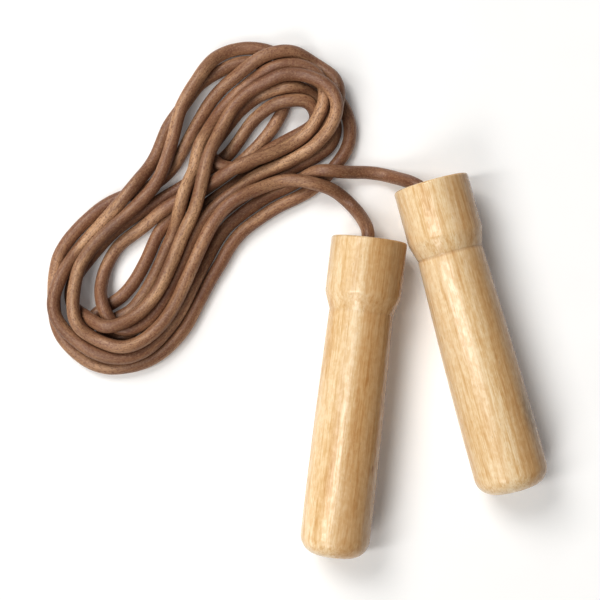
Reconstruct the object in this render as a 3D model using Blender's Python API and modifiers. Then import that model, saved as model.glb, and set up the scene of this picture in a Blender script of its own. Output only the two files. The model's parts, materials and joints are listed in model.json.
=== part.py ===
"""A jump rope: a round leather cord, lying coiled, between two turned wooden handles.

Each handle turns freely round the cord's end on a ball bearing, pressed into a socket in its collar.
The cord passes through the bearing in a flanged bush, and a crimped ferrule behind it is the stop.
Units are metres, +Z is up, and the rope lies on the floor at Z = 0.
"""

import math

import bmesh
import bpy
import numpy as np
from mathutils import Matrix, Vector

MM = 0.001

# The whole layout is shifted by this, so that the origin is under the middle of the rope.
LAYOUT_SHIFT = Vector((2.8, -1.8, 0.0)) * MM

# Cord
CORD_RADIUS = 3.0 * MM
CORD_SIDES_LEVEL = 2
STRAND_PITCH = 6.5 * MM
SAMPLE_STEP = 3.0 * MM
RING_SAG = 0.3 * MM
LONGEST_RING_GAP = 12.0 * MM
END_STEPS = 3

# Handle, measured back along its axis from the face of the collar
HANDLE_LENGTH = 142.0 * MM
COLLAR_RADIUS = 17.0 * MM
COLLAR_LENGTH = 25.0 * MM
SHOULDER_LENGTH = 8.0 * MM
FACE_ROUNDING = 1.3 * MM
MOUTH_FLARE = 1.6 * MM
BUTT_ROUNDING = 8.5 * MM
GRIP_WIDEST_AT = 120.0 * MM
HANDLE_STEPS = 40

# Socket and cavity
SOCKET_RADIUS = 11.15 * MM
CAVITY_RADIUS = 7.2 * MM
CAVITY_DEPTH = 42.0 * MM
AXIAL_GAP = 0.3 * MM
PIVOT_DEPTH = 6.0 * MM
CORD_END_SETBACK = 3.4 * MM

# Ball bearing, 8 x 22 x 7 mm
BEARING_OUTER = 11.0 * MM
BEARING_BORE = 4.05 * MM
BEARING_WIDTH = 7.0 * MM
BEARING_FRONT = 10.8 * MM
BALL_PITCH = 7.5 * MM
BALL_RADIUS = 1.985 * MM
BALL_COUNT = 7
GROOVE_RADIUS = 2.13 * MM
OUTER_LAND = 8.9 * MM
INNER_LAND = 6.1 * MM
SHIELD_RECESS = 9.5 * MM
SHIELD_BORE = 6.5 * MM
SHIELD_THICKNESS = 0.4 * MM
SHIELD_INSET = 0.1 * MM
CAGE_INNER = 6.9 * MM
CAGE_OUTER = 8.1 * MM
CAGE_HALF_WIDTH = 2.65 * MM
CAGE_WINDOW = 2.2 * MM
RACE_STEPS = 24
CAGE_STEPS = 21

# Bush, washer and ferrule
BUSH_BORE = 3.15 * MM
BUSH_RADIUS = 3.9 * MM
FLANGE_RADIUS = 5.4 * MM
FLANGE_THICKNESS = 1.0 * MM
WASHER_BORE = 4.1 * MM
WASHER_RADIUS = 5.8 * MM
WASHER_THICKNESS = 1.0 * MM
BUSH_OVERHANG = 0.2 * MM
FERRULE_RADIUS = 5.0 * MM
FERRULE_LENGTH = 12.0 * MM
CRIMP_RADIUS = 4.4 * MM
CRIMP_WIDTH = 2.6 * MM
CORD_STUB = 0.6 * MM
SMALL_STEPS = 20

# Each handle: where its face is on the floor plan, how far it is turned about +Z, and its grip.
HANDLES = {
    "left": {"face": (31.1, 26.6), "turned": -6.6, "neck": 14.3, "grip": 15.5},
    "right": {"face": (58.5, 52.0), "turned": 15.3, "neck": 14.8, "grip": 16.5},
}

# How firmly a strand keeps to its way-points: one on show, or one buried in the bundle.
SHOWN = 1.0
BURIED = 0.2

# The cord's course from the left handle to the right one. A way-point is x and y in millimetres,
# and the height of the cord's underside above the floor, in cord diameters.
STRANDS = [
    ("left tail, over the bundle", SHOWN, [
        (30.5, 24.0, 2.4), (30.5, 30, 2.3), (28, 37, 2.1), (22, 45, 1.9), (9, 53, 2), (-9, 54, 2),
        (-17, 52, 1.8), (-30, 45, 1.6), (-39, 36, 1.4), (-46, 23, 1.1), (-59, -7, 1)]),
    ("low lobe, top turn", SHOWN, [
        (-74, -21, 1.3), (-87, -22, 1.5), (-91, -19, 1.5), (-99, -11, 1.1), (-102, -1, 1),
        (-102, 9, 1), (-97, 20, 1), (-88, 30, 1), (-64, 55, 1.1)]),
    ("high lobe, outermost turn", SHOWN, [
        (-57, 79, 1), (-55, 86, 0.8), (-46, 101, 0.2), (-36, 112, 0), (-25, 116, 0), (-16, 113, 0),
        (12, 97, 0), (21, 86, 0), (22, 70, 0), (7, 53, 0)]),
    ("low lobe, outermost turn", SHOWN, [
        (-11, 44, 0), (-25, 34, 0), (-34, 24, 0), (-57, -16, 0), (-70, -28, 0), (-85, -31, 0),
        (-99, -27, 0), (-111, -12, 0), (-112, 8, 0), (-109, 22, 0), (-87, 44, 0)]),
    ("high lobe, second turn", SHOWN, [
        (-63, 56, 0.1), (-47, 81, 0), (-39, 93, 0), (-30, 102, 0.3), (-13, 111, 1), (0, 111, 1),
        (8, 107, 1), (15, 100, 1), (17, 91, 1)]),
    ("behind the fourth turn", SHOWN, [(10, 74, 0.5), (1, 70, 0.4), (-7, 65, 0.2)]),
    ("low lobe, buried inner turn", BURIED, [
        (-42, 45, 0), (-57, 14, 0), (-74, -17, 0), (-84, -22, 0), (-93, -20, 0), (-97, -14, 0),
        (-94, -10, 0)]),
    ("high lobe, third turn", SHOWN, [
        (-87, -10, 0.1), (-81, -8, 0.5), (-72, 1, 0.9), (-65, 13, 1), (-54, 41, 2), (-52, 48, 2),
        (-49, 55, 2.2), (-37, 86, 1), (-30, 95, 1), (-15, 106, 1.6), (-9, 107, 2), (-2, 108, 2),
        (9, 101, 2)]),
    ("high lobe, back down its inside", SHOWN, [
        (12, 92, 2), (5, 77, 1.6), (-6, 69, 1.6), (-32, 58, 2), (-58, 42, 1)]),
    ("low lobe, inner eye", SHOWN, [
        (-70, 35, 0.9), (-83, 26, 0.4), (-91, 7, 0.4), (-89, -4, 1), (-87, -10, 1), (-82, -14, 0.7),
        (-77, -14, 0.5), (-66, -7, 0.4), (-61, 0, 0.4), (-53, 16, 0.6), (-46, 33, 1)]),
    ("high lobe, topmost turn", SHOWN, [
        (-37, 43, 1), (-20, 56, 1), (-5, 63, 1), (2, 67, 1.2), (13, 77, 2.2), (17, 87, 2.9),
        (13, 96, 3.1), (2, 101, 3), (-11, 101, 2.3), (-28, 90, 2), (-39, 71, 2.3)]),
    ("waist, topmost strand", SHOWN, [
        (-43, 56, 2.8), (-50, 35, 2), (-62, 6, 1.2), (-71, -6, 1.3), (-82, -12, 1.7),
        (-88, -13, 1.6), (-93, -10, 1.3)]),
    ("low lobe, between its outer turns", BURIED, [
        (-103, -7, 0.4), (-106, -3, 0), (-107, 2, 0), (-99, 21, 0), (-88, 32, 0)]),
    ("high lobe, innermost turn", SHOWN, [
        (-81, 34, 0), (-64, 46, 0), (-34, 62, 0.2), (-32, 66, 0.3), (-21, 83, 0.9), (-2, 92, 1),
        (5, 92, 1)]),
    ("high lobe, buried full turn", BURIED, [
        (12, 86, 0.8), (9, 79, 0.6), (1, 72, 0.5), (-9, 66, 0.6), (-37, 56, 1), (-45, 65, 1),
        (-39, 79, 0.6), (-28, 89, 0.3)]),
    ("high lobe, fifth turn", SHOWN, [(-23, 91, 0.3), (-17, 95, 0.4), (-5, 97, 0.4), (7, 94, 0.4)]),
    ("low lobe, buried outer turn", BURIED, [
        (15, 85, 0.1), (11, 73, 0), (-28, 51, 0), (-45, 29, 0), (-69, -19, 0), (-82, -26, 0),
        (-96, -23, 0), (-99, -12, 0)]),
    ("up through the low lobe's eye", SHOWN, [
        (-86, -2, 0), (-79, 4, 0.2), (-69, 20, 0.2), (-59, 39, 0), (-28, 63, 0.1), (-17, 71, 0.1)]),
    ("across the high lobe's eye", SHOWN, [
        (-5, 104, 0.1), (-26, 109, 0), (-45, 101, 0), (-56, 85, 0.1)]),
    ("low lobe, second turn", SHOWN, [
        (-60, 81, 0.3), (-65, 68, 0.9), (-76, 50, 1), (-86, 40, 1), (-106, 16, 1), (-112, -2, 1),
        (-109, -12, 1), (-97, -21, 1), (-88, -25, 0.5), (-75, -25, 0.4), (-64, -18, 0.4),
        (-53, -3, 0.4)]),
    ("right tail, under the left one", SHOWN, [
        (-36, 31, 0.5), (-17, 46, 0.8), (5, 57, 1), (13, 58, 1), (36, 58, 1.8), (51.2, 51.8, 2.2),
        (57.1, 47.7, 2.35)]),
]


def clear_scene():
    for item in list(bpy.data.objects):
        bpy.data.objects.remove(item, do_unlink=True)


def new_collection(name):
    collection = bpy.data.collections.new(name)
    bpy.context.scene.collection.children.link(collection)
    return collection


def new_material(name, colour, roughness, metallic):
    material = bpy.data.materials.new(name)
    material.use_nodes = True
    shader = material.node_tree.nodes["Principled BSDF"]
    shader.inputs["Base Color"].default_value = (*colour, 1.0)
    shader.inputs["Roughness"].default_value = roughness
    shader.inputs["Metallic"].default_value = metallic
    return material


def leather(name):
    return new_material(name, (0.26, 0.12, 0.065), 0.65, 0.0)


def lacquered_wood(name):
    return new_material(name, (0.72, 0.5, 0.27), 0.35, 0.0)


def bearing_steel(name):
    return new_material(name, (0.62, 0.63, 0.65), 0.25, 1.0)


def brass(name):
    return new_material(name, (0.78, 0.6, 0.3), 0.3, 1.0)


def nylon(name):
    return new_material(name, (0.85, 0.83, 0.78), 0.5, 0.0)


def add_object(name, data, collection, material, parent=None):
    item = bpy.data.objects.new(name, data)
    item.data.materials.append(material)
    item.parent = parent
    collection.objects.link(item)
    return item


def arc(centre_r, centre_z, radius, start, end, steps):
    """Points of an arc in the profile's plane, its angles in degrees from +X towards +Z."""
    angles = [math.radians(start + (end - start) * k / steps) for k in range(steps + 1)]
    return [(centre_r + radius * math.cos(a), centre_z + radius * math.sin(a)) for a in angles]


def turned_mesh(name, profile, closed):
    """The edges of a profile in the XZ plane, its outer side running from top to bottom."""
    mesh = bpy.data.meshes.new(name)
    edges = [(k, k + 1) for k in range(len(profile) - 1)]
    if closed:
        edges.append((len(profile) - 1, 0))
    mesh.from_pydata([(r, 0.0, z) for r, z in profile], edges, [])
    return mesh


def add_turned(name, profile, closed, steps, collection, material, parent):
    item = add_object(name, turned_mesh(name, profile, closed), collection, material, parent)
    screw = item.modifiers.new("Turn", "SCREW")
    screw.axis = "Z"
    screw.angle = math.tau
    screw.steps = steps
    screw.render_steps = steps
    screw.use_merge_vertices = True
    screw.merge_threshold = 0.01 * MM
    screw.use_smooth_shade = True
    return item


# Handle and its bearing. Their shared frame has +Z along the handle's axis, out of the collar's face.


def grip_radius(depth, neck, grip):
    """The grip swells smoothly from its neck to its widest place near the butt."""
    start = COLLAR_LENGTH + SHOULDER_LENGTH
    share = min(1.0, (depth - start) / (GRIP_WIDEST_AT - start))
    return neck + (grip - neck) * math.sin(share * math.pi / 2)


def handle_profile(neck, grip):
    socket_floor = BEARING_FRONT + BEARING_WIDTH + AXIAL_GAP
    flare = SOCKET_RADIUS + MOUTH_FLARE
    inside = [
        (0.0, -CAVITY_DEPTH),
        (CAVITY_RADIUS, -CAVITY_DEPTH),
        (CAVITY_RADIUS, -socket_floor),
        (SOCKET_RADIUS, -socket_floor),
        (SOCKET_RADIUS, -MOUTH_FLARE),
        (flare, 0.0),
    ]
    rim = arc(COLLAR_RADIUS - FACE_ROUNDING, -FACE_ROUNDING, FACE_ROUNDING, 90, 0, 3)
    shoulder_end = COLLAR_LENGTH + SHOULDER_LENGTH
    shoulder = [
        (COLLAR_RADIUS, -COLLAR_LENGTH + 1.5 * FACE_ROUNDING),
        (COLLAR_RADIUS - 0.3 * MM, -COLLAR_LENGTH),
        (neck + 0.3 * MM, -shoulder_end + 1.5 * MM),
        (neck, -shoulder_end),
    ]
    depths = [shoulder_end + (GRIP_WIDEST_AT - shoulder_end) * k / 4 for k in range(1, 5)]
    swell = [(grip_radius(depth, neck, grip), -depth) for depth in depths]
    butt = arc(grip - BUTT_ROUNDING, BUTT_ROUNDING - HANDLE_LENGTH, BUTT_ROUNDING, 0, -90, 6)
    return inside + rim + shoulder + swell + butt + [(0.0, -HANDLE_LENGTH)]


def add_frame(name, side, collection):
    """An empty at the middle of the collar's face. The handle lies on its collar and its butt."""
    place = HANDLES[side]
    radius_drop = COLLAR_RADIUS - place["grip"] * MM
    pitch = math.atan(radius_drop / (HANDLE_LENGTH - BUTT_ROUNDING - COLLAR_LENGTH))
    height = COLLAR_RADIUS / math.cos(pitch) + COLLAR_LENGTH * math.sin(pitch)
    x, y = place["face"]
    turn = Matrix.Rotation(math.radians(place["turned"]), 4, "Z")
    lie_down = Matrix.Rotation(pitch - math.pi / 2, 4, "X")
    frame = bpy.data.objects.new(name, None)
    frame.matrix_world = (
        Matrix.Translation(LAYOUT_SHIFT + Vector((x * MM, y * MM, height))) @ turn @ lie_down
    )
    collection.objects.link(frame)
    return frame


def add_handle(side, collection, frame):
    place = HANDLES[side]
    name = f"{side}_handle"
    profile = handle_profile(place["neck"] * MM, place["grip"] * MM)
    add_turned(name, profile, False, HANDLE_STEPS, collection, lacquered_wood(name), frame)


def add_bearing_centre(side, collection, frame):
    centre = bpy.data.objects.new(f"{side}_bearing_centre", None)
    centre.parent = frame
    centre.location = (0.0, 0.0, -BEARING_FRONT - BEARING_WIDTH / 2)
    collection.objects.link(centre)
    return centre


def groove_angle(land):
    """Where a raceway's groove meets the land beside it, in degrees round the groove's centre."""
    return math.degrees(math.acos(abs(land - BALL_PITCH) / GROOVE_RADIUS))


def add_races(side, collection, centre):
    half = BEARING_WIDTH / 2
    ledge = half - SHIELD_INSET - SHIELD_THICKNESS - AXIAL_GAP / 2
    bevel = 0.4 * MM
    outer_bend = groove_angle(OUTER_LAND)
    outer = [
        (BEARING_OUTER - bevel, half),
        (BEARING_OUTER, half - bevel),
        (BEARING_OUTER, bevel - half),
        (BEARING_OUTER - bevel, -half),
        (SHIELD_RECESS, -half),
        (SHIELD_RECESS, -ledge),
        (OUTER_LAND, -ledge),
        *arc(BALL_PITCH, 0.0, GROOVE_RADIUS, -outer_bend, outer_bend, 4),
        (OUTER_LAND, ledge),
        (SHIELD_RECESS, ledge),
        (SHIELD_RECESS, half),
    ]
    inner_bend = groove_angle(INNER_LAND)
    inner = [
        (INNER_LAND, half),
        *arc(BALL_PITCH, 0.0, GROOVE_RADIUS, 180 - inner_bend, 180 + inner_bend, 4),
        (INNER_LAND, -half),
        (BEARING_BORE, -half),
        (BEARING_BORE, half),
    ]
    for part, profile in (("bearing_outer_race", outer), ("bearing_inner_race", inner)):
        name = f"{side}_{part}"
        add_turned(name, profile, True, RACE_STEPS, collection, bearing_steel(name), centre)


def add_shields(side, collection, centre):
    outside = BEARING_WIDTH / 2 - SHIELD_INSET
    for part, facing in (("front_shield", 1), ("rear_shield", -1)):
        name = f"{side}_{part}"
        top = outside if facing > 0 else SHIELD_THICKNESS - outside
        bottom = top - SHIELD_THICKNESS
        rim = SHIELD_RECESS - 0.15 * MM
        profile = [(rim, top), (rim, bottom), (SHIELD_BORE, bottom), (SHIELD_BORE, top)]
        add_turned(name, profile, True, RACE_STEPS, collection, bearing_steel(name), centre)


def ball_places():
    angles = [math.tau * k / BALL_COUNT for k in range(BALL_COUNT)]
    return [(BALL_PITCH * math.cos(a), BALL_PITCH * math.sin(a), 0.0) for a in angles]


def add_balls(side, collection, centre):
    for number, place in enumerate(ball_places(), start=1):
        name = f"{side}_ball_{number}"
        mesh = bpy.data.meshes.new(name)
        sphere = bmesh.new()
        bmesh.ops.create_icosphere(sphere, subdivisions=2, radius=BALL_RADIUS)
        sphere.to_mesh(mesh)
        sphere.free()
        mesh.shade_smooth()
        ball = add_object(name, mesh, collection, bearing_steel(name), centre)
        ball.location = place


def add_window_cutters(side, cutters, centre, material):
    """Radial bars, one through each ball's place, that open the cage's windows."""
    reach = 2 * (CAGE_OUTER - CAGE_INNER)
    mesh = bpy.data.meshes.new(f"{side}_cage_windows")
    bars = bmesh.new()
    for place in ball_places():
        outward = Vector(place).normalized().to_track_quat("Z", "Y").to_matrix().to_4x4()
        bmesh.ops.create_cone(
            bars,
            cap_ends=True,
            segments=10,
            radius1=CAGE_WINDOW,
            radius2=CAGE_WINDOW,
            depth=2 * reach,
            matrix=Matrix.Translation(place) @ outward,
        )
    bars.to_mesh(mesh)
    bars.free()
    cutter = add_object(mesh.name, mesh, cutters, material, centre)
    cutter.hide_render = True
    cutter.display_type = "WIRE"
    return cutter


def add_cage(side, collection, cutters, centre):
    name = f"{side}_bearing_cage"
    material = nylon(name)
    profile = [
        (CAGE_OUTER, CAGE_HALF_WIDTH),
        (CAGE_OUTER, -CAGE_HALF_WIDTH),
        (CAGE_INNER, -CAGE_HALF_WIDTH),
        (CAGE_INNER, CAGE_HALF_WIDTH),
    ]
    cage = add_turned(name, profile, True, CAGE_STEPS, collection, material, centre)
    cut = cage.modifiers.new("Windows", "BOOLEAN")
    cut.operation = "DIFFERENCE"
    cut.solver = "EXACT"
    cut.object = add_window_cutters(side, cutters, centre, material)


def add_bush(side, collection, frame):
    name = f"{side}_bush"
    back = BEARING_FRONT - AXIAL_GAP
    front = back - FLANGE_THICKNESS
    tip = BEARING_FRONT + BEARING_WIDTH + AXIAL_GAP + WASHER_THICKNESS + BUSH_OVERHANG
    profile = [
        (FLANGE_RADIUS, -front),
        (FLANGE_RADIUS, -back),
        (BUSH_RADIUS, -back),
        (BUSH_RADIUS, -tip),
        (BUSH_BORE, -tip),
        (BUSH_BORE, -front),
    ]
    add_turned(name, profile, True, SMALL_STEPS, collection, brass(name), frame)
    return tip


def add_washer(side, collection, frame):
    name = f"{side}_thrust_washer"
    front = BEARING_FRONT + BEARING_WIDTH + AXIAL_GAP
    back = front + WASHER_THICKNESS
    profile = [
        (WASHER_RADIUS, -front),
        (WASHER_RADIUS, -back),
        (WASHER_BORE, -back),
        (WASHER_BORE, -front),
    ]
    add_turned(name, profile, True, SMALL_STEPS, collection, bearing_steel(name), frame)


def add_ferrule(side, collection, frame, bush_tip):
    """A sleeve with two crimped waists, that grips the cord's end behind the bearing."""
    name = f"{side}_ferrule"
    front = bush_tip + AXIAL_GAP
    back = front + FERRULE_LENGTH
    profile = [(FERRULE_RADIUS, -front)]
    for share in (0.3, 0.7):
        middle = front + share * FERRULE_LENGTH
        profile += [
            (FERRULE_RADIUS, CRIMP_WIDTH / 2 - middle),
            (CRIMP_RADIUS, -middle),
            (FERRULE_RADIUS, -CRIMP_WIDTH / 2 - middle),
        ]
    profile += [(FERRULE_RADIUS, -back), (BUSH_BORE, -back), (BUSH_BORE, -front)]
    add_turned(name, profile, True, SMALL_STEPS, collection, brass(name), frame)
    return back


# Cord


def add_cord(name, points, round_start, round_end, collection, parent=None):
    """A round cord along points. A rounded end is a half ball round the first or last point."""
    rings = [(Vector(point), 1.0) for point in points]
    if round_start:
        rings = half_ball(rings[0][0], rings[0][0] - rings[1][0])[::-1] + rings
    if round_end:
        rings = rings + half_ball(rings[-1][0], rings[-1][0] - rings[-2][0])
    curve = bpy.data.curves.new(name, "CURVE")
    curve.dimensions = "3D"
    curve.bevel_depth = CORD_RADIUS
    curve.bevel_resolution = CORD_SIDES_LEVEL
    curve.use_fill_caps = True
    spline = curve.splines.new("POLY")
    spline.points.add(len(rings) - 1)
    for ring, (place, share) in zip(spline.points, rings):
        ring.co = (*place, 1.0)
        ring.radius = share
    return add_object(name, curve, collection, leather(name), parent)


def half_ball(centre, outward):
    """Rings that close a cord's end to a small cap, each with its share of the cord's radius."""
    outward = outward.normalized()
    angles = [math.radians(80) * k / END_STEPS for k in range(1, END_STEPS + 1)]
    return [(centre + outward * CORD_RADIUS * math.sin(a), math.cos(a)) for a in angles]


def add_rope_end(side, collection, frame, ferrule_back):
    start = -PIVOT_DEPTH - CORD_END_SETBACK
    end = -ferrule_back - CORD_STUB
    points = [(0.0, 0.0, start), (0.0, 0.0, (start + end) / 2), (0.0, 0.0, end)]
    add_cord(f"{side}_rope_end", points, True, False, collection, frame)


def way_points():
    """The way-points as heights of the cord's centre line, and how firmly each one holds."""
    places = []
    holds = []
    for _, hold, strand in STRANDS:
        for x, y, layer in strand:
            height = CORD_RADIUS + 2 * CORD_RADIUS * layer
            places.append((x * MM, y * MM, height))
            holds.append(hold)
    return np.array(places), np.array(holds)


def smooth_path(places, holds):
    """A cubic curve through the way-points, sampled at even steps along their chords."""
    chords = np.linalg.norm(np.diff(places, axis=0), axis=1)
    at = np.concatenate(([0.0], np.cumsum(chords)))
    before = np.maximum(np.arange(len(places)) - 1, 0)
    after = np.minimum(np.arange(len(places)) + 1, len(places) - 1)
    slopes = (places[after] - places[before]) / (at[after] - at[before])[:, None]
    samples = np.linspace(0.0, at[-1], round(at[-1] / SAMPLE_STEP) + 1)
    span = np.clip(np.searchsorted(at, samples, side="right") - 1, 0, len(places) - 2)
    width = (at[span + 1] - at[span])[:, None]
    share = (samples - at[span])[:, None] / width
    path = (
        (2 * share**3 - 3 * share**2 + 1) * places[span]
        + (share**3 - 2 * share**2 + share) * width * slopes[span]
        + (3 * share**2 - 2 * share**3) * places[span + 1]
        + (share**3 - share**2) * width * slopes[span + 1]
    )
    hold = holds[span] * (1 - share[:, 0]) + holds[span + 1] * share[:, 0]
    return path, hold


def near_pairs(path):
    """Pairs of samples on neighbouring strands, leaving out those close along the same strand."""
    same_strand = math.ceil(15.0 * MM / SAMPLE_STEP)
    apart = path[:, None, :] - path[None, :, :]
    near = (apart**2).sum(axis=-1) < (STRAND_PITCH + SAMPLE_STEP) ** 2
    return np.where(np.triu(near, same_strand))


def part_strands(path, pairs):
    """Moves samples that are closer than the strand pitch straight apart, and none below the floor."""
    first, second = pairs
    apart = path[first] - path[second]
    distance = np.linalg.norm(apart, axis=1)
    close = distance < STRAND_PITCH
    first, second = first[close], second[close]
    distance = distance[close][:, None]
    push = apart[close] / distance * (STRAND_PITCH - distance) / 2
    total = np.zeros_like(path)
    count = np.zeros(len(path))
    np.add.at(total, first, push)
    np.add.at(total, second, -push)
    np.add.at(count, first, 1)
    np.add.at(count, second, 1)
    moved = path + total / np.maximum(count, 1)[:, None] ** 0.6
    moved[:, 2] = np.maximum(moved[:, 2], CORD_RADIUS)
    return moved


def fair_path(path, hold, course):
    """One step towards an even curve that stays on its course and rests low in the pile."""
    bend = np.zeros_like(path)
    bend[2:-2] = (4 * path[1:-3] + 4 * path[3:-1] - path[:-4] - path[4:]) / 6 - path[2:-2]
    slack = np.zeros_like(path)
    slack[1:-1] = (path[:-2] + path[2:]) / 2 - path[1:-1]
    faired = path + 0.45 * bend + 0.25 * slack * (1 - 0.9 * hold[:, None])
    faired[:, :2] += 0.12 * hold[:, None] * (course[:, :2] - faired[:, :2])
    faired[:, 2] -= 0.06 * MM
    return faired


def even_out(path):
    """One step of smoothing alone."""
    bend = np.zeros_like(path)
    bend[2:-2] = (4 * path[1:-3] + 4 * path[3:-1] - path[:-4] - path[4:]) / 6 - path[2:-2]
    return path + 0.3 * bend


def lay_cord(fairing_rounds=220, spacing_rounds=40, pinned=3):
    """The cord's centre line, with every strand a full cord's thickness clear of the others."""
    course, hold = smooth_path(*way_points())
    path = course.copy()
    for number in range(fairing_rounds + spacing_rounds):
        if number % 5 == 0:
            pairs = near_pairs(path)
        path = fair_path(path, hold, course) if number < fairing_rounds else even_out(path)
        for _ in range(3):
            path = part_strands(path, pairs)
        path[:pinned] = course[:pinned]
        path[-pinned:] = course[-pinned:]
    return path


def thin_path(path):
    """Keeps the samples that a chain of straight lengths needs to stay close to the path."""
    kept = [0]
    for number in range(2, len(path)):
        chord = path[number] - path[kept[-1]]
        length = np.linalg.norm(chord)
        between = path[kept[-1] + 1 : number] - path[kept[-1]]
        off_line = np.linalg.norm(np.cross(between, chord / length), axis=1).max()
        if off_line > RING_SAG or length > LONGEST_RING_GAP:
            kept.append(number - 1)
    return path[kept + [len(path) - 1]]


def add_coil(collection):
    points = thin_path(lay_cord())
    coil = add_cord("rope_coil", points, True, True, collection)
    coil.location = LAYOUT_SHIFT


def add_side(side, collection, cutters):
    frame = add_frame(f"{side}_frame", side, collection)
    add_handle(side, collection, frame)
    centre = add_bearing_centre(side, collection, frame)
    add_races(side, collection, centre)
    add_shields(side, collection, centre)
    add_balls(side, collection, centre)
    add_cage(side, collection, cutters, centre)
    bush_tip = add_bush(side, collection, frame)
    add_washer(side, collection, frame)
    ferrule_back = add_ferrule(side, collection, frame, bush_tip)
    add_rope_end(side, collection, frame, ferrule_back)


def main():
    clear_scene()
    rope = new_collection("jump_rope")
    cutters = new_collection("cutters")
    add_coil(rope)
    for side in HANDLES:
        add_side(side, rope, cutters)
    bpy.context.view_layer.update()


main()
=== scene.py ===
"""The looks of a jump rope: a leather cord lying coiled between two turned wooden handles.

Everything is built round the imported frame, in metres, +Z up. A handle's own frame has +Z along
the handle's axis and its origin at the middle of the collar's face, so depths into it are below 0.
"""

import json
import math

import bmesh
import bpy
import numpy as np
from mathutils import Matrix, Vector


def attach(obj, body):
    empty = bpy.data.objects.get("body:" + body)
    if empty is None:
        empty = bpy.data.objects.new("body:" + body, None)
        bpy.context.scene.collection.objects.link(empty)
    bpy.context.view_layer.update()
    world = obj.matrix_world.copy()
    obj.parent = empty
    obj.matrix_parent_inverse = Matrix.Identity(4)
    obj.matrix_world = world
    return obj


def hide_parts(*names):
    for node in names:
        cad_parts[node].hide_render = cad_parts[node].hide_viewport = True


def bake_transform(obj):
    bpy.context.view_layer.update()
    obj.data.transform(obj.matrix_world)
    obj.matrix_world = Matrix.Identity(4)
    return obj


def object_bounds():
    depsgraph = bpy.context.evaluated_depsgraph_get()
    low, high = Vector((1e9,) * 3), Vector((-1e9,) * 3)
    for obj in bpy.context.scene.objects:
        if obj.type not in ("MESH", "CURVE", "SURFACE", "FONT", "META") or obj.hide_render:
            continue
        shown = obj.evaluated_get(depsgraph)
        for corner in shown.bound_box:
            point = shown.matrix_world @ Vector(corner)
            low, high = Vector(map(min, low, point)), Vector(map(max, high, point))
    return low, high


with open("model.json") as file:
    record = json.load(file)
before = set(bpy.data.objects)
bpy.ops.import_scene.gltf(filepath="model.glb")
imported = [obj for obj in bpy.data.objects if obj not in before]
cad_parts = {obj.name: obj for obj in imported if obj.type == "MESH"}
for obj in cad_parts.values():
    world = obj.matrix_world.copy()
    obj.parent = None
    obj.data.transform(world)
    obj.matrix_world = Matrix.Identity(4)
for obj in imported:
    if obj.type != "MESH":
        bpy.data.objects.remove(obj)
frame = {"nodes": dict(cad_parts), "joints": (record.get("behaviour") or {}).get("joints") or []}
cad_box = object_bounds()

MM = 0.001
SIDES = ("left", "right")
WELD = 0.004 * MM
ON_AXIS = 1e-7
SMOOTH_ANGLE = math.radians(32)

# Cord
CORD_RADIUS = 3.0 * MM
CORD_SIDES = 24
CORD_STEP = 1.0 * MM
CORD_SMOOTHING = 1.8 * MM
SMOOTHING_REACH = 3
THICKNESS_WAVES = ((57 * MM, 0.3), (23 * MM, 1.9), (9.1 * MM, 4.1))
THICKNESS_SWING = 0.006
TAIL_LENGTH = 46.0 * MM
BEND_LENGTH = 34.0 * MM
END_START = 10.0 * MM
END_KNOTS = 5

# How the CAD cord's cap in the left handle is found: its corners lie this close together and to the
# mouth, and this many of the first and last rings belong to the caps.
CAP_SPACING = 0.2 * CORD_RADIUS
CAP_REACH = 8 * CORD_RADIUS
CAP_RINGS = 3

# Handle
HANDLE_STEPS = 180
FACE_ROUNDING = 1.3 * MM
MOUTH_ROUNDING = 0.5 * MM
MOUTH_BEVEL = 0.12 * MM
SOCKET_BEVEL = 0.15 * MM
LIP_ROUNDING = 6.0 * MM
CREASE_DEPTH = 0.2 * MM
CREASE_WIDTH = 0.7 * MM
CREASE_LIP = 0.12 * MM
# Painted shade along the shoulder's crease: how far from it the dark line fades, and how dark it is
CREASE_SHADE_LINE = (0.15 * MM, 1.1 * MM)
CREASE_SHADE_TONE = 0.38
GRIP_ROWS = 30
GRIP_START_SHARE = 0.04
GRIP_WIDEST_SHARE = 0.845
BUTT_ROUNDING = 8.5 * MM

# Each handle's piece of wood: where its grain is cut from, how far to its own +X the brown heartwood
# starts (partly the wood's own figure, partly painted shade on that side away from the key light),
# where it has a stain, and how sharply the collar's shoulder meets the grip, from 0 to 1, which also
# sets how dark the painted shade along the crease is.
WOODS = {
    "left": {"shift": (3.0, 8.0, 1.0), "heart_and_shade_at": 4 * MM, "stain_at": None, "crease": 0.25},
    "right": {
        "shift": (21.0, 5.0, 14.0),
        "heart_and_shade_at": 9 * MM,
        "stain_at": (14.5 * MM, -9 * MM, -109 * MM),
        "crease": 1.0,
    },
}
STAIN_SIZE = (5 * MM, 7 * MM, 17 * MM)
# The edge of the heartwood, which is partly painted shade on the handle's +X side: how far it wanders
# and how wide it fades
HEART_AND_SHADE_WANDER = 14 * MM
HEART_AND_SHADE_FADE = 7 * MM
# Painted shade: how far out along the handle's +X the wood darkens towards its shaded rim
PAINTED_SHADE_SPAN = (17 * MM, 23 * MM)

# Depths below the collar's face between which parts of the CAD handle are found
NECK_DEPTHS = (26 * MM, 40 * MM)
CAVITY_DEPTHS = (26 * MM, 60 * MM)
SOCKET_DEPTHS = (0.1 * MM, 30 * MM)
GRIP_DEPTH = 100 * MM

# How far a CAD handle's corner may be off: from the face's plane, from a radius, past the mouth's
# radius inside the bore, and short of the collar's widest
LEVEL = 0.01 * MM
NEAR = 0.05 * MM
FACET_SAG = 0.1 * MM
COLLAR_TAPER = 0.35 * MM

# Metal pieces
METAL_STEPS = 96
EDGE_ROUNDING = 0.14 * MM
EDGE_SHARE = 0.35
SHARP_TURN = math.radians(35)
TURNING_LINE_MM = 0.09
BALL_SUBDIVISIONS = 4
OFF_PLANE = 0.01

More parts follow.
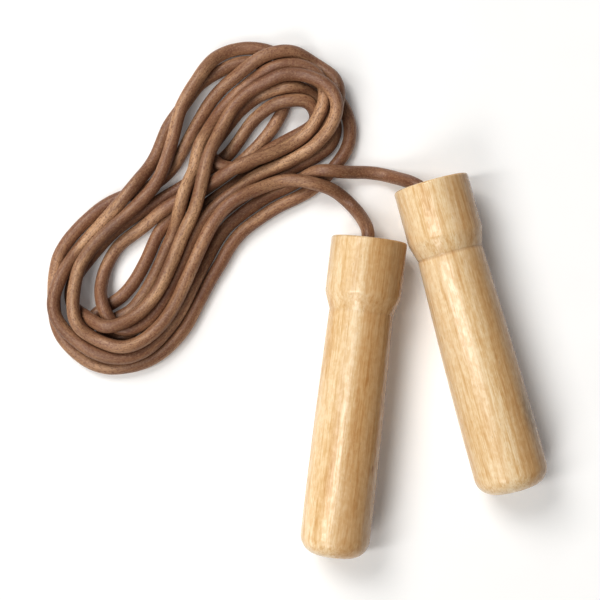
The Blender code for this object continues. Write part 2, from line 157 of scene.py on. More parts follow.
# Leather's colours
LEATHER_DARK = (0.155, 0.069, 0.035)
LEATHER_BROWN = (0.315, 0.163, 0.086)
LEATHER_TAN = (0.64, 0.39, 0.22)
LEATHER_RED = (0.27, 0.112, 0.062)
LEATHER_FIBRE = (0.16, 0.066, 0.034)
LEATHER_SCUFF = (0.52, 0.33, 0.19)
LEATHER_FLECK = (0.16, 0.055, 0.03)

# Wood's colours. The washes are multiplied into the others.
WOOD_DEEP = (0.66, 0.42, 0.205)
WOOD_MIDDLE = (0.8, 0.595, 0.35)
WOOD_PALE = (0.88, 0.715, 0.485)
SAPWOOD = (0.9, 0.755, 0.545)
# Heartwood brown: partly the wood's own figure, partly painted shade on the handle's +X side
HEARTWOOD_AND_SHADE = (0.64, 0.385, 0.17)
# Painted shade: a darker brown towards the handle's +X rim, on the side away from the key light
PAINTED_SHADE_BROWN = (0.4, 0.23, 0.1)
STREAK_WASH = (0.84, 0.73, 0.58)
FIBRE_WASH = (0.88, 0.79, 0.66)
MOTTLE_WASH = (0.9, 0.82, 0.71)
PORE_BROWN = (0.36, 0.19, 0.075)
KNOT_BROWN = (0.33, 0.16, 0.06)
STAIN_BROWN = (0.22, 0.14, 0.065)
# Painted shade along the crease where the collar's shoulder meets the grip
CREASE_SHADE_BROWN = (0.42, 0.22, 0.09)

# The other materials' colours, dark and pale
STEEL_TONES = ((0.5, 0.51, 0.53), (0.66, 0.67, 0.69))
BRASS_TONES = ((0.6, 0.43, 0.18), (0.8, 0.62, 0.31))
BALL_TONES = ((0.6, 0.61, 0.63), (0.72, 0.73, 0.75))
NYLON_TONES = ((0.78, 0.75, 0.68), (0.88, 0.86, 0.8))
FLOOR_TONES = ((0.9, 0.9, 0.9), (0.92, 0.92, 0.92))

# Studio
CAMERA_TARGET = Vector((2.8, -1.8, 0.0)) * MM
CAMERA_DISTANCE = 620.0 * MM
CAMERA_ELEVATION = math.radians(88)
CAMERA_SENSOR = 36.0
FRAME_WIDTH = 276.0 * MM
LIGHT_COLOUR = (1.0, 0.985, 0.96)
LIGHT_DISTANCE = 2.75
LIGHTS = {
    "key": {"direction": (-0.45, 0.52, 0.78), "width": 1.25, "height": 1.25, "power": 47.0},
    "fill": {"direction": (-0.4, -0.6, 0.72), "width": 1.0, "height": 1.0, "power": 21.0},
    "strip": {"direction": (-0.5, -0.1, 0.86), "width": 0.38, "height": 1.75, "power": 29.0},
}
SKY_COLOUR = (0.96, 0.98, 1.0, 1.0)
SKY_STRENGTH = 0.13
BACKDROP_STRENGTH = 0.85
GAMMA = 0.9
FLOOR_GLOW = 0.72
FLOOR_GLOW_NEAR = 0.08
FLOOR_GLOW_FROM = 0.5
FLOOR_GLOW_TO = 2.6
FLOOR_SIZE = 30.0
FLOOR_DROP = 0.05 * MM


# Frames and points


def handle_frame(side):
    """The matrix of a handle's own frame, its +X level."""
    joint = next(j for j in frame["joints"] if j["name"] == f"{side}_spin")
    along = Vector(joint["axis"]).normalized()
    across = along.cross(Vector((0, 0, 1))).normalized()
    down = along.cross(across)
    turn = Matrix((across, down, along)).transposed().to_4x4()
    return Matrix.Translation(joint["pos_m"]) @ turn


def moved(matrix, points):
    m = np.array(matrix)
    return points @ m[:3, :3].T + m[:3, 3]


def welded(node):
    """A CAD node's separate corners, and its triangles as their numbers."""
    mesh = frame["nodes"][node].data
    corners = np.array([v.co for v in mesh.vertices], float)
    _, first, number = np.unique(
        np.round(corners / WELD).astype(int), axis=0, return_index=True, return_inverse=True
    )
    triangles = np.array([p.vertices[:] for p in mesh.polygons])
    return corners[first], number.reshape(-1)[triangles]


def neighbours(count, triangles):
    """For each corner, the corners that share an edge with it."""
    near = [set() for _ in range(count)]
    for a, b, c in triangles:
        near[a].update((b, c))
        near[b].update((a, c))
        near[c].update((a, b))
    return near


def unit(vectors):
    return vectors / np.linalg.norm(vectors, axis=-1, keepdims=True)


# Materials


class Tree:
    """A material's node tree, with a short call for each kind of node that the looks need."""

    def __init__(self, name):
        self.material = bpy.data.materials.new(name)
        self.material.use_nodes = True
        self.nodes = self.material.node_tree.nodes
        self.links = self.material.node_tree.links
        self.shader = self.nodes["Principled BSDF"]

    def plug(self, value, socket):
        if isinstance(value, bpy.types.NodeSocket):
            self.links.new(value, socket)
        elif value is not None:
            socket.default_value = value

    def math(self, operation, first, second=None):
        node = self.nodes.new("ShaderNodeMath")
        node.operation = operation
        self.plug(first, node.inputs[0])
        self.plug(second, node.inputs[1])
        return node.outputs[0]

    def own_space(self):
        node = self.nodes.new("ShaderNodeAttribute")
        node.attribute_name = "own_space"
        return node.outputs["Vector"]

    def object_space(self):
        return self.nodes.new("ShaderNodeTexCoord").outputs["Object"]

    def cells(self, vector, sizes, shift=(0, 0, 0)):
        """vector counted in cells of these sizes, in millimetres, along its three axes."""
        scaled = self.nodes.new("ShaderNodeVectorMath")
        scaled.operation = "MULTIPLY_ADD"
        self.links.new(vector, scaled.inputs[0])
        scaled.inputs[1].default_value = [1 / (size * MM) for size in sizes]
        scaled.inputs[2].default_value = shift
        return scaled.outputs["Vector"]

    def noise(self, vector, detail=2.0, roughness=0.5, distortion=0.0):
        node = self.nodes.new("ShaderNodeTexNoise")
        self.links.new(vector, node.inputs["Vector"])
        node.inputs["Scale"].default_value = 1.0
        node.inputs["Detail"].default_value = detail
        node.inputs["Roughness"].default_value = roughness
        node.inputs["Distortion"].default_value = distortion
        return node.outputs["Fac"]

    def dots(self, vector):
        """The distance to the nearest of dots that are scattered one to a cell."""
        node = self.nodes.new("ShaderNodeTexVoronoi")
        self.links.new(vector, node.inputs["Vector"])
        node.inputs["Scale"].default_value = 1.0
        return node.outputs["Distance"]

    def length(self, vector):
        node = self.nodes.new("ShaderNodeVectorMath")
        node.operation = "LENGTH"
        self.links.new(vector, node.inputs[0])
        return node.outputs["Value"]

    def fade(self, value, low, high, to_low=0.0, to_high=1.0):
        """value turned smoothly from to_low, where it is low, to to_high, where it is high."""
        node = self.nodes.new("ShaderNodeMapRange")
        node.interpolation_type = "SMOOTHSTEP"
        self.plug(value, node.inputs["Value"])
        node.inputs["From Min"].default_value = low
        node.inputs["From Max"].default_value = high
        node.inputs["To Min"].default_value = to_low
        node.inputs["To Max"].default_value = to_high
        return node.outputs["Result"]

    def ramp(self, value, *stops):
        """A colour ramp through (place, colour) stops."""
        node = self.nodes.new("ShaderNodeValToRGB")
        self.links.new(value, node.inputs["Fac"])
        elements = node.color_ramp.elements
        while len(elements) < len(stops):
            elements.new(1.0)
        for element, (place, colour) in zip(elements, stops):
            element.position = place
            element.color = (*colour, 1.0)
        return node.outputs["Color"]

    def mix(self, share, first, second, blend="MIX"):
        node = self.nodes.new("ShaderNodeMix")
        node.data_type = "RGBA"
        node.blend_type = blend
        self.plug(share, node.inputs[0])
        for value, socket in ((first, node.inputs[6]), (second, node.inputs[7])):
            self.plug((*value, 1.0) if isinstance(value, tuple) else value, socket)
        return node.outputs[2]

    def bump(self, height, depth_mm, normal=None):
        """A bump whose height of 1 stands this many millimetres proud."""
        node = self.nodes.new("ShaderNodeBump")
        node.inputs["Distance"].default_value = depth_mm * MM
        self.links.new(height, node.inputs["Height"])
        self.plug(normal, node.inputs["Normal"])
        return node.outputs["Normal"]

    def finish(self, **sockets):
        """Sets the shader's sockets, by their names with underscores, and returns the material."""
        for name, value in sockets.items():
            self.plug(value, self.shader.inputs[name.replace("_", " ")])
        return self.material


def leather():
    """Round tanned cord: a fine grain with reddish flecks, in browns that drift along it."""
    tree = Tree("leather")
    space = tree.own_space()
    drift = tree.noise(tree.cells(space, (9, 9, 42)), 2.5, 0.6)
    colour = tree.ramp(drift, (0.34, LEATHER_DARK), (0.5, LEATHER_BROWN), (0.65, LEATHER_TAN))
    tan = tree.noise(tree.cells(space, (40, 40, 95), (2.0, 6.0, 4.0)), 1.0)
    colour = tree.mix(tree.fade(tan, 0.4, 0.62, 0.35, 0.0), colour, LEATHER_RED)
    fibre = tree.noise(tree.cells(space, (0.5, 0.5, 4.0)), 3.0, 0.6)
    colour = tree.mix(tree.fade(fibre, 0.35, 0.62, 0.45, 0.0), colour, LEATHER_FIBRE)
    pale = tree.noise(tree.cells(space, (0.6, 0.6, 1.0), (3.1, 7.7, 1.3)), 2.0, 0.6)
    colour = tree.mix(tree.fade(pale, 0.46, 0.68, 0.0, 0.32), colour, LEATHER_SCUFF)
    flecks = tree.noise(tree.cells(space, (0.7, 0.7, 1.0), (9.2, 1.4, 5.5)), 2.0, 0.6)
    fleck = tree.fade(flecks, 0.5, 0.66)
    colour = tree.mix(tree.math("MULTIPLY", fleck, 0.65), colour, LEATHER_FLECK)
    grain = tree.noise(tree.cells(space, (0.32, 0.32, 0.4)), 3.0, 0.6)
    height = tree.math("SUBTRACT", tree.math("MULTIPLY", grain, 0.6), fleck)
    undulation = tree.noise(tree.cells(space, (2.4, 2.4, 9.0)), 1.0)
    return tree.finish(
        Base_Color=colour,
        Roughness=tree.fade(grain, 0.3, 0.7, 0.38, 0.54),
        Specular_IOR_Level=0.5,
        Normal=tree.bump(height, 0.035, tree.bump(undulation, 0.07)),
    )


def lacquered_wood(name, wood, crease_depth):
    """Pale hardwood along the handle's axis, under clear lacquer that follows its grain."""
    shift = wood["shift"]
    heart_and_shade_at = wood["heart_and_shade_at"]
    tree = Tree(name)
    space = tree.own_space()
    split = tree.nodes.new("ShaderNodeSeparateXYZ")
    tree.links.new(space, split.inputs[0])
    warp = tree.noise(tree.cells(space, (14, 14, 60), shift), 1.0)
    bands = tree.noise(tree.cells(space, (4.2, 7.5, 95), shift), 3.0, 0.5, 0.6)
    colour = tree.ramp(bands, (0.28, WOOD_DEEP), (0.45, WOOD_MIDDLE), (0.62, WOOD_PALE))
    colour = tree.mix(tree.fade(warp, 0.35, 0.68, 0.0, 0.5), colour, SAPWOOD)
    # Heartwood towards the handle's own +X. It is partly real figure and partly painted shade on the
    # side away from the key light.
    edge = tree.math("ADD", split.outputs["X"], tree.math("MULTIPLY", bands, HEART_AND_SHADE_WANDER))
    heart_and_shade = tree.fade(edge, heart_and_shade_at, heart_and_shade_at + HEART_AND_SHADE_FADE, 0.0, 0.75)
    colour = tree.mix(heart_and_shade, colour, HEARTWOOD_AND_SHADE)
    # Painted shade: the wood turns darker brown towards the handle's own +X rim, its shaded side
    colour = tree.mix(tree.fade(edge, *PAINTED_SHADE_SPAN, 0.0, 0.5), colour, PAINTED_SHADE_BROWN)
    streaks = tree.noise(tree.cells(space, (1.5, 1.5, 34), shift), 2.0, 0.6)
    colour = tree.mix(tree.fade(streaks, 0.5, 0.66, 0.0, 0.7), colour, STREAK_WASH, "MULTIPLY")
    fibre = tree.noise(tree.cells(space, (0.55, 0.55, 8), shift), 3.0, 0.62)
    patches = tree.fade(warp, 0.3, 0.6, 1.0, 0.6)
    fibrous = tree.math("MULTIPLY", tree.fade(fibre, 0.36, 0.6), patches)
    colour = tree.mix(tree.math("SUBTRACT", patches, fibrous), colour, FIBRE_WASH, "MULTIPLY")
    mottle = tree.noise(tree.cells(space, (1.9, 1.9, 3.0), shift), 2.5, 0.6)
    colour = tree.mix(tree.fade(mottle, 0.36, 0.64, 0.8, 0.0), colour, MOTTLE_WASH, "MULTIPLY")
    pores = tree.dots(tree.cells(space, (0.9, 0.9, 5.5), shift))
    pore = tree.math(
        "MULTIPLY", tree.fade(pores, 0.08, 0.2, 1.0, 0.0), tree.fade(mottle, 0.48, 0.6)
    )
    colour = tree.mix(tree.math("MULTIPLY", pore, 0.45), colour, PORE_BROWN)
    knots = tree.dots(tree.cells(space, (15, 15, 24), shift))
    colour = tree.mix(tree.fade(knots, 0.02, 0.085, 0.75, 0.0), colour, KNOT_BROWN)
    if wood["stain_at"]:
        shift_back = [-at / size for at, size in zip(wood["stain_at"], STAIN_SIZE)]
        around = tree.cells(space, [size / MM for size in STAIN_SIZE], shift_back)
        ragged = tree.math("ADD", tree.length(around), tree.fade(mottle, 0.3, 0.7, -0.15, 0.15))
        colour = tree.mix(tree.fade(ragged, 0.0, 1.15, 0.7, 0.0), colour, STAIN_BROWN)
    # Painted shade: a dark brown line along the crease where the collar's shoulder meets the grip,
    # darker the sharper the crease
    off_crease = tree.math("ABSOLUTE", tree.math("ADD", split.outputs["Z"], crease_depth))
    crease_shade_tone = CREASE_SHADE_TONE * wood["crease"]
    colour = tree.mix(tree.fade(off_crease, *CREASE_SHADE_LINE, crease_shade_tone, 0.0), colour, CREASE_SHADE_BROWN)
    relief = tree.math("SUBTRACT", tree.math("MULTIPLY", fibre, 0.8), pore)
    waves = tree.noise(tree.cells(space, (3.2, 3.2, 9), shift), 1.5, 0.55)
    return tree.finish(
        Base_Color=colour,
        Roughness=tree.fade(fibre, 0.3, 0.7, 0.5, 0.36),
        Specular_IOR_Level=0.15,
        Coat_Weight=tree.fade(mottle, 0.35, 0.65, 0.55, 1.0),
        Coat_Roughness=0.2,
        Coat_IOR=1.42,
        Normal=tree.bump(relief, 0.03, tree.bump(waves, 0.09)),
        Coat_Normal=tree.bump(relief, 0.005, tree.bump(waves, 0.07)),
    )


def turned_metal(name, tones, roughness):
    """Metal with the fine rings that turning or grinding leaves round its axis."""
    tree = Tree(name)
    split = tree.nodes.new("ShaderNodeSeparateXYZ")
    tree.links.new(tree.own_space(), split.inputs[0])
    squares = [tree.math("POWER", split.outputs[axis], 2.0) for axis in "XY"]
    radius = tree.math("SQRT", tree.math("ADD", *squares))
    section = tree.nodes.new("ShaderNodeCombineXYZ")
    tree.links.new(radius, section.inputs["X"])
    tree.links.new(split.outputs["Z"], section.inputs["Y"])
    lines = tree.cells(section.outputs["Vector"], (TURNING_LINE_MM, TURNING_LINE_MM, 1))
    rings = tree.noise(lines, 3.0, 0.7)
    stains = tree.noise(tree.cells(tree.own_space(), (2.4, 2.4, 2.4)), 3.0, 0.6)
    return tree.finish(
        Base_Color=tree.ramp(stains, (0.3, tones[0]), (0.65, tones[1])),
        Metallic=1.0,
        Roughness=tree.fade(rings, 0.3, 0.7, roughness - 0.07, roughness + 0.1),
        Normal=tree.bump(rings, 0.006),
    )


def polished_steel():
    """Ball steel: close to a mirror, with faint scuffs."""
    tree = Tree("polished_steel")
    scuffs = tree.noise(tree.cells(tree.object_space(), (0.9, 0.9, 0.9)), 4.0, 0.7)
    return tree.finish(
        Base_Color=tree.ramp(scuffs, (0.3, BALL_TONES[0]), (0.7, BALL_TONES[1])),
        Metallic=1.0,
        Roughness=tree.fade(scuffs, 0.35, 0.7, 0.07, 0.2),
    )


def nylon():
    """Moulded nylon, faintly cloudy, with a fine moulded texture."""
    tree = Tree("nylon")
    cloud = tree.noise(tree.cells(tree.object_space(), (1.8, 1.8, 1.8)), 2.0)
    skin = tree.noise(tree.cells(tree.object_space(), (0.18, 0.18, 0.18)), 2.0)
    return tree.finish(
        Base_Color=tree.ramp(cloud, (0.3, NYLON_TONES[0]), (0.7, NYLON_TONES[1])),
        Roughness=tree.fade(skin, 0.3, 0.7, 0.42, 0.56),
        Subsurface_Weight=0.1,
        Subsurface_Scale=0.8 * MM,
        Normal=tree.bump(skin, 0.008),
    )


# Meshes


def add_mesh(name, points, faces, material, own_space):
    """A smooth-shaded object. own_space is where each point is along its own grain."""
    mesh = bpy.data.meshes.new(name)
    mesh.from_pydata([tuple(p) for p in points], [], faces)
    space = mesh.attributes.new("own_space", "FLOAT_VECTOR", "POINT")
    space.data.foreach_set("vector", np.asarray(own_space, np.float32).ravel())
    mesh.materials.append(material)
    outward = bmesh.new()
    outward.from_mesh(mesh)
    bmesh.ops.recalc_face_normals(outward, faces=outward.faces)
    outward.to_mesh(mesh)
    outward.free()
    mesh.shade_smooth()
    mesh.set_sharp_from_angle(angle=SMOOTH_ANGLE)
    item = bpy.data.objects.new(name, mesh)
    bpy.context.scene.collection.objects.link(item)
    return item


def add_turned(name, outline, closed, steps, material, place):
    """A solid turned round +Z of place, from an outline of (radius, height) points."""
    points = []
    rows = []
    for radius, height in outline:
        if radius < ON_AXIS:
            rows.append([len(points)] * steps)
            points.append((0.0, 0.0, height))
            continue
        rows.append(list(range(len(points), len(points) + steps)))
        for step in range(steps):
            angle = math.tau * step / steps
            points.append((radius * math.cos(angle), radius * math.sin(angle), height))
    faces = []
    pairs = list(zip(rows, rows[1:])) + ([(rows[-1], rows[0])] if closed else [])
    for low, high in pairs:
        for step in range(steps):
            after = (step + 1) % steps
            corners = dict.fromkeys((low[step], low[after], high[after], high[step]))
            faces.append(tuple(corners))
    return add_mesh(name, moved(place, np.array(points)), faces, material, points)


def arc(centre_radius, centre_height, radius, start, end, steps):
    """Points of an arc of an outline, its angles in degrees from outwards towards +Z."""
    angles = np.radians(np.linspace(start, end, steps + 1))
    return [(centre_radius + radius * math.cos(a), centre_height + radius * math.sin(a)) for a in angles]


# Cord


def cord_rings():
    """The middles of the CAD cord's rings, from the left handle to the right one."""
    corners, triangles = welded("rope_coil")
    near = neighbours(len(corners), triangles)
    mouth = np.array(handle_frame("left").translation)
    ring = set()
    for number, around in enumerate(near):
        gaps = np.linalg.norm(corners[sorted(around)] - corners[number], axis=1)
        on_cap = np.sum(gaps < CAP_SPACING) >= 2
        if on_cap and np.linalg.norm(corners[number] - mouth) < CAP_REACH:
            ring.add(number)
    middles = []
    seen = set()
    while ring:
        middles.append(corners[sorted(ring)].mean(axis=0))
        seen |= ring
        ring = set().union(*(near[number] for number in ring)) - seen
    return np.array(middles[CAP_RINGS:-CAP_RINGS])


def end_points(side):
    """Points on the handle's axis where the cord's end runs through the bearing, outermost first."""
    place = handle_frame(side)
    corners, _ = welded(f"{side}_rope_end")
    back = moved(place.inverted(), corners)[:, 2].min()
    depths = np.linspace(-END_START, back, END_KNOTS)
    return moved(place, np.array([(0.0, 0.0, depth) for depth in depths]))


def distances_along(line):
    """How far along the line each of its points is."""
    return np.concatenate(([0.0], np.cumsum(np.linalg.norm(np.diff(line, axis=0), axis=1))))


def resampled(line, step):
    """Points at even steps along a line."""
    at = distances_along(line)
    places = np.linspace(0.0, at[-1], round(at[-1] / step) + 1)
    return np.stack([np.interp(places, at, line[:, axis]) for axis in range(3)], axis=1)


def curve_through(knots, step):
    """A smooth cubic curve through knots that are unevenly spaced."""
    at = distances_along(knots)
    before = np.maximum(np.arange(len(knots)) - 1, 0)
    after = np.minimum(np.arange(len(knots)) + 1, len(knots) - 1)
    slopes = (knots[after] - knots[before]) / (at[after] - at[before])[:, None]
    places = np.linspace(0.0, at[-1], round(at[-1] / step) + 1)
    span = np.clip(np.searchsorted(at, places, side="right") - 1, 0, len(knots) - 2)
    width = (at[span + 1] - at[span])[:, None]
    share = (places - at[span])[:, None] / width
    return (
        (2 * share**3 - 3 * share**2 + 1) * knots[span]
        + (share**3 - 2 * share**2 + share) * width * slopes[span]
        + (3 * share**2 - 2 * share**3) * knots[span + 1]
        + (share**3 - share**2) * width * slopes[span + 1]
    )


def evened(line, step, spread):
    """line with its small kinks averaged out over spread, its two ends kept where they are."""
    reach = round(SMOOTHING_REACH * spread / step)
    offsets = np.arange(-reach, reach + 1) * step
    weights = np.exp(-0.5 * (offsets / spread) ** 2)
    weights /= weights.sum()
    head = 2 * line[0] - line[reach:0:-1]
    foot = 2 * line[-1] - line[-2 : -reach - 2 : -1]
    padded = np.concatenate((head, line, foot))
    return np.stack([np.convolve(padded[:, axis], weights, "valid") for axis in range(3)], axis=1)


def cord_line():
    """The cord's whole centre line, from its end in the left handle to its end in the right one."""
    knots = np.concatenate((end_points("left")[::-1], cord_rings(), end_points("right")))
    fine = CORD_STEP / 2
    line = evened(resampled(curve_through(knots, fine), fine), fine, CORD_SMOOTHING)
    return resampled(line, CORD_STEP)


def carried_frames(line):
    """Two directions across the line at each point, carried along it without twisting."""
    along = unit(np.gradient(line, axis=0))
    first = np.cross(along[0], (0.0, 0.0, 1.0))
    across = [unit(first)]
    for direction in along[1:]:
        last = across[-1]
        across.append(unit(last - direction * np.dot(last, direction)))
    across = np.array(across)
    return across, np.cross(along, across)


def tube_points(line):
    """Rings of points round the line, and the same points laid straight for the grain."""
    across, up = carried_frames(line)
    along = np.arange(len(line)) * CORD_STEP
    swing = sum(np.sin(math.tau * along / wave + phase) for wave, phase in THICKNESS_WAVES)
    radius = CORD_RADIUS * (1 + THICKNESS_SWING * swing)
    angles = math.tau * np.arange(CORD_SIDES) / CORD_SIDES
    cosine = np.cos(angles)[None, :, None]
    sine = np.sin(angles)[None, :, None]
    round_line = cosine * across[:, None] + sine * up[:, None]
    points = line[:, None] + radius[:, None, None] * round_line
    straight = np.empty_like(points)
    straight[..., 0] = CORD_RADIUS * np.cos(angles)
    straight[..., 1] = CORD_RADIUS * np.sin(angles)
    straight[..., 2] = along[:, None]
    return points, straight


def add_tube(name, points, straight, material):
    """A closed tube from rings of points."""
    rings, sides = points.shape[:2]
    number = np.arange(rings * sides).reshape(rings, sides)
    turned = np.roll(number, -1, axis=1)
    walls = np.stack((number[:-1], turned[:-1], turned[1:], number[1:]), axis=-1).reshape(-1, 4)
    faces = [tuple(map(int, wall)) for wall in walls]
    faces += [tuple(map(int, number[0])), tuple(map(int, number[-1]))]
    return add_mesh(name, points.reshape(-1, 3), faces, material, straight.reshape(-1, 3))


def nearest(line, point):
    return int(np.linalg.norm(line - np.array(point), axis=1).argmin())


def add_cord():
    """The cord as three pieces: the coil, and a tail that bends into each handle's mouth."""
    material = leather()
    line = cord_line()
    points, straight = tube_points(line)
    left_mouth = nearest(line, handle_frame("left").translation)
    right_mouth = nearest(line, handle_frame("right").translation)
    tail = round(TAIL_LENGTH / CORD_STEP)
    bend = round(BEND_LENGTH / CORD_STEP)
    first = left_mouth + tail
    last = right_mouth - tail
    coil = add_tube("coiled_cord", points[first : last + 1], straight[first : last + 1], material)
    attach(coil, "cord")
    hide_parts("rope_coil")
    tails = (
        ("left", slice(0, first + 1), left_mouth, left_mouth + bend),
        ("right", slice(last, None), right_mouth, right_mouth - bend),
    )
    for side, part, mouth, start in tails:
        piece = add_tube(f"{side}_cord_tail", points[part], straight[part], material)
        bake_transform(piece)
        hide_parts(f"{side}_rope_end")


# Handles


def between(values, limits):
    return (values > limits[0]) & (values < limits[1])


def handle_sizes(side):
    """A handle's measures, read from its CAD node: radii, and depths below the collar's face."""
    corners, _ = welded(f"{side}_handle")
    local = moved(handle_frame(side).inverted(), corners)
    radius = np.hypot(local[:, 0], local[:, 1])
    depth = -local[:, 2]
    collar = radius.max()
    mouth = radius[(depth < LEVEL) & (radius < collar - 2 * FACE_ROUNDING)].max()
    bored = radius < mouth + FACET_SAG
    in_socket = bored & between(depth, SOCKET_DEPTHS)
    in_cavity = bored & between(depth, CAVITY_DEPTHS)
    round_neck = ~bored & between(depth, NECK_DEPTHS)
    socket = radius[in_socket].max()
    cavity = radius[in_cavity].max()
    neck = radius[round_neck].min()
    return {
        "length": depth.max(),
        "collar": collar,
        "collar_end": depth[radius > collar - COLLAR_TAPER].max(),
        "neck": neck,
        "neck_at": depth[round_neck & (radius < neck + NEAR)].max(),
        "grip": radius[depth > GRIP_DEPTH].max(),
        "mouth": mouth,
        "socket": socket,
        "socket_floor": depth[bored & (np.abs(radius - socket) < NEAR)].max(),
        "cavity": cavity,
        "cavity_floor": depth[in_cavity & (np.abs(radius - cavity) < NEAR)].max(),
    }


def handle_outline(size, crease_depth):
    """The handle's outline, from the cavity's middle, out over the face and back to the butt."""
    flare = size["mouth"] - size["socket"]
    inside = [
        (0.0, -size["cavity_floor"]),
        (size["cavity"], -size["cavity_floor"]),
        (size["cavity"], -size["socket_floor"]),
        (size["socket"], -size["socket_floor"]),
        (size["socket"], -flare - MOUTH_ROUNDING),
        (size["socket"] + SOCKET_BEVEL, -flare),
        (size["mouth"] - MOUTH_ROUNDING, -MOUTH_ROUNDING),
        (size["mouth"], -MOUTH_BEVEL),
        (size["mouth"] + MOUTH_ROUNDING, 0.0),
    ]
    rim = arc(size["collar"] - FACE_ROUNDING, -FACE_ROUNDING, FACE_ROUNDING, 90, 0, 8)
    slope = math.atan2(size["neck_at"] - size["collar_end"], size["collar"] - size["neck"])
    lip = arc(
        size["collar"] - LIP_ROUNDING,
        LIP_ROUNDING * math.tan((math.pi / 2 - slope) / 2) - size["collar_end"],
        LIP_ROUNDING,
        0,
        math.degrees(slope) - 90,
        6,
    )
    crease = [
        (size["neck"] + CREASE_LIP, CREASE_WIDTH - size["neck_at"]),
        (size["neck"] - crease_depth, 0.25 * CREASE_WIDTH - size["neck_at"]),
        (size["neck"] - crease_depth, -0.1 * CREASE_WIDTH - size["neck_at"]),
        (size["neck"], -CREASE_WIDTH - size["neck_at"]),
    ]
    widest_at = GRIP_WIDEST_SHARE * size["length"]
    shares = np.linspace(GRIP_START_SHARE, 1.0, GRIP_ROWS)
    depths = size["neck_at"] + (widest_at - size["neck_at"]) * shares
    swell = size["neck"] + (size["grip"] - size["neck"]) * np.sin(shares * math.pi / 2)
    grip = [(radius, -depth) for radius, depth in zip(swell, depths)]
    butt_centre = BUTT_ROUNDING - size["length"]
    butt = arc(size["grip"] - BUTT_ROUNDING, butt_centre, BUTT_ROUNDING, 0, -90, 22)
    return inside + rim + lip + crease + grip + butt + [(0.0, -size["length"])]


def add_handle(side):
    size = handle_sizes(side)
    material = lacquered_wood(f"{side}_wood", WOODS[side], size["neck_at"])
    place = handle_frame(side)
    outline = handle_outline(size, CREASE_DEPTH * WOODS[side]["crease"])
    handle = add_turned(f"{side}_turned_handle", outline, False, HANDLE_STEPS, material, place)
    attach(handle, f"{side}_grip")
    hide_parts(f"{side}_handle")


# Bearing, bush, washer and ferrule


def section_of(node, place):
    """A turned CAD node's outline in one half-plane, in order, as (radius, height) points."""
    corners, triangles = welded(node)
    local = moved(place.inverted(), corners)
    radius = np.hypot(local[:, 0], local[:, 1])
    angle = np.arctan2(local[:, 1], local[:, 0])
    off_plane = np.abs((angle - angle[radius.argmax()] + math.pi) % math.tau - math.pi)
    on_plane = set(np.flatnonzero(off_plane < OFF_PLANE).tolist())
    near = neighbours(len(corners), triangles)
    walk = [max(on_plane, key=lambda number: (round(local[number, 2], 6), radius[number]))]
    while True:
        ahead = sorted((near[walk[-1]] & on_plane) - set(walk))
        if not ahead:
            break
        walk.append(ahead[0])
    return [(radius[number], local[number, 2]) for number in walk]


def edges_rounded(outline):
    """A closed outline with a small round on each sharp corner."""
    rounded = []
    corners = np.array(outline)
    for before, corner, after in zip(np.roll(corners, 1, 0), corners, np.roll(corners, -1, 0)):
        back = before - corner
        ahead = after - corner
        lengths = np.linalg.norm(back), np.linalg.norm(ahead)
        back, ahead = unit(back), unit(ahead)
        turn = math.pi - math.acos(np.clip(np.dot(back, ahead), -1, 1))
        if turn < SHARP_TURN:
            rounded.append(tuple(corner))
            continue
        cut = min(EDGE_ROUNDING, EDGE_SHARE * min(lengths))
        for share in (0.0, 1 / 3, 2 / 3, 1.0):
            weights = (1 - share) ** 2, share**2
            rounded.append(tuple(corner + cut * (weights[0] * back + weights[1] * ahead)))
    return rounded


def add_fine_turned(node, body, material):
    """A turned CAD node made again with a round section and softened edges."""
    side = node.split("_")[0]
    place = handle_frame(side)
    outline = edges_rounded(section_of(node, place))
    piece = add_turned(f"{node}_fine", outline, True, METAL_STEPS, material, place)
    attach(piece, body)
    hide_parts(node)


def add_ball(node, body, material):
    """A bearing ball, with its middle as its origin."""
    corners, _ = welded(node)
    middle = (corners.min(axis=0) + corners.max(axis=0)) / 2
    mesh = bpy.data.meshes.new(f"{node}_fine")
    sphere = bmesh.new()
    radius = np.linalg.norm(corners - middle, axis=1).max()
    bmesh.ops.create_icosphere(sphere, subdivisions=BALL_SUBDIVISIONS, radius=radius)
    sphere.to_mesh(mesh)
    sphere.free()
    mesh.shade_smooth()
    mesh.materials.append(material)
    ball = bpy.data.objects.new(mesh.name, mesh)
    ball.location = middle
    bpy.context.scene.collection.objects.link(ball)
    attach(ball, body)
    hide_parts(node)


def add_fittings(side, steel, brass, ball_steel, cage_nylon):
    """The bearing, bush, washer and ferrule of one handle. The CAD cage stays as it is."""
    for part in ("bearing_outer_race", "front_shield", "rear_shield"):
        add_fine_turned(f"{side}_{part}", f"{side}_grip", steel)
    for part in ("bearing_inner_race", "thrust_washer"):
        add_fine_turned(f"{side}_{part}", f"{side}_swivel", steel)
    for part in ("bush", "ferrule"):
        add_fine_turned(f"{side}_{part}", f"{side}_swivel", brass)
    balls = sorted(name for name in frame["nodes"] if name.startswith(f"{side}_ball_"))
    for ball in balls:
        add_ball(ball, f"{side}_ball_set", ball_steel)
    cage = frame["nodes"][f"{side}_bearing_cage"]
    cage.data.materials.clear()
    cage.data.materials.append(cage_nylon)


# Studio


def add_floor():
    """A pale floor that glows faintly far out, where the lights don't reach."""
    tree = Tree("floor")
    speckle = tree.noise(tree.cells(tree.object_space(), (40, 40, 40)), 2.0)
    away = tree.length(tree.object_space())
    glow = tree.fade(away, FLOOR_GLOW_FROM, FLOOR_GLOW_TO, FLOOR_GLOW_NEAR, FLOOR_GLOW)
    material = tree.finish(
        Base_Color=tree.ramp(speckle, (0.3, FLOOR_TONES[0]), (0.7, FLOOR_TONES[1])),
        Roughness=0.9,
        Specular_IOR_Level=0.0,
        Emission_Color=(1.0, 1.0, 1.0, 1.0),
        Emission_Strength=glow,
    )
    bpy.ops.mesh.primitive_plane_add(size=FLOOR_SIZE, location=(0, 0, cad_box[0].z - FLOOR_DROP))
    floor = bpy.context.object
    floor.name = "floor"
    floor.data.materials.append(material)


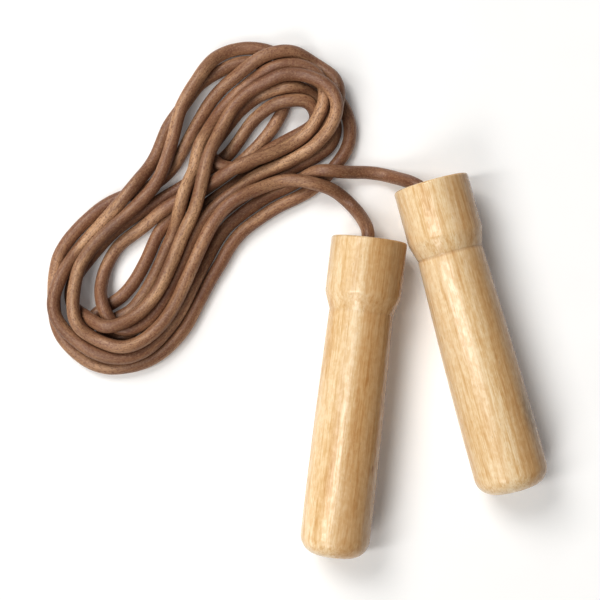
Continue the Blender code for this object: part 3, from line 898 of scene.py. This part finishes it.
def add_light(name, direction, width, height, power):
    """A soft light that faces the rope from a direction; its height lies along that direction."""
    data = bpy.data.lights.new(name, "AREA")
    data.shape = "RECTANGLE"
    data.size = width
    data.size_y = height
    data.energy = power
    data.color = LIGHT_COLOUR
    light = bpy.data.objects.new(name, data)
    away = Vector(direction).normalized()
    light.location = away * LIGHT_DISTANCE
    light.rotation_euler = away.to_track_quat("Z", "Y").to_euler()
    bpy.context.scene.collection.objects.link(light)


def add_world():
    """Dim light from all round, before a backdrop as pale as the floor."""
    world = bpy.data.worlds.new("studio")
    world.use_nodes = True
    nodes = world.node_tree.nodes
    links = world.node_tree.links
    strength = nodes.new("ShaderNodeMapRange")
    strength.inputs["To Min"].default_value = SKY_STRENGTH
    strength.inputs["To Max"].default_value = BACKDROP_STRENGTH
    links.new(nodes.new("ShaderNodeLightPath").outputs["Is Camera Ray"], strength.inputs["Value"])
    background = nodes["Background"]
    background.inputs["Color"].default_value = SKY_COLOUR
    links.new(strength.outputs["Result"], background.inputs["Strength"])
    bpy.context.scene.world = world


def add_studio():
    add_floor()
    for name, light in LIGHTS.items():
        add_light(name, **light)
    add_world()
    bpy.context.scene.view_settings.view_transform = "Standard"
    bpy.context.scene.view_settings.gamma = GAMMA


def add_camera():
    data = bpy.data.cameras.new("camera")
    data.sensor_width = CAMERA_SENSOR
    data.lens = data.sensor_width * CAMERA_DISTANCE / FRAME_WIDTH
    camera = bpy.data.objects.new("camera", data)
    back = Vector((0.0, -math.cos(CAMERA_ELEVATION), math.sin(CAMERA_ELEVATION)))
    camera.location = CAMERA_TARGET + back * CAMERA_DISTANCE
    camera.rotation_euler = back.to_track_quat("Z", "Y").to_euler()
    bpy.context.scene.collection.objects.link(camera)
    bpy.context.scene.camera = camera


steel = turned_metal("bearing_steel", STEEL_TONES, 0.24)
brass = turned_metal("brass", BRASS_TONES, 0.26)
ball_steel = polished_steel()
cage_nylon = nylon()
add_cord()
for side in SIDES:
    add_handle(side)
for side in SIDES:
    add_fittings(side, steel, brass, ball_steel, cage_nylon)
add_studio()
add_camera()
